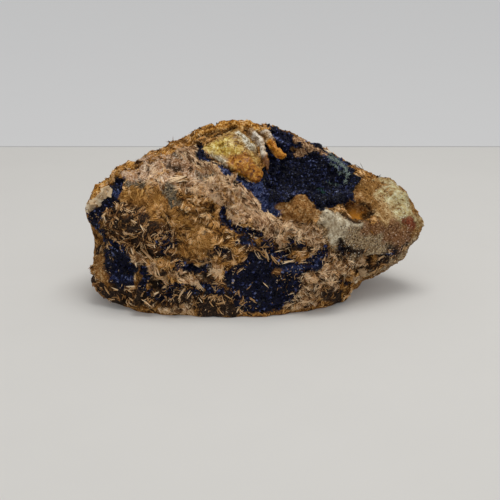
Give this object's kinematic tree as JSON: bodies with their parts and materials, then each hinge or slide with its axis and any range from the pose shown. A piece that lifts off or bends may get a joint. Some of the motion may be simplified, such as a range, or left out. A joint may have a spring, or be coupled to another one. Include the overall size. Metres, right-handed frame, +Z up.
{
  "type": "azurite specimen",
  "caption": "Loose cabinet specimen of bladed, iron-stained rock with a hollow lined with dark blue azurite crystals and a nodule and plates of stained quartz.",
  "frame": {"origin": "middle of the specimen's length and depth, on the flat that it rests on", "axes": "+X along its length towards the narrow granular end, -Y towards the show face, +Z up"},
  "size_m": [0.1088, 0.0586, 0.0551],
  "materials": {
    "host_rock": "rough, granular and bladed, with iron stains",
    "stained_quartz": "waxy, slightly translucent",
    "crescent_quartz": "satin, stained orange at the lower end",
    "azurite": "sparkling crystal faces"
  },
  "bodies": {
    "root": {"host_rock": "host_rock", "quartz_nodule": "stained_quartz", "inner_crescent_plate": "crescent_quartz", "outer_crescent_plate": "crescent_quartz", "azurite_druse": "azurite", "azurite_left_pocket": "azurite", "azurite_lower_seam": "azurite"}
  },
  "joints": []
}
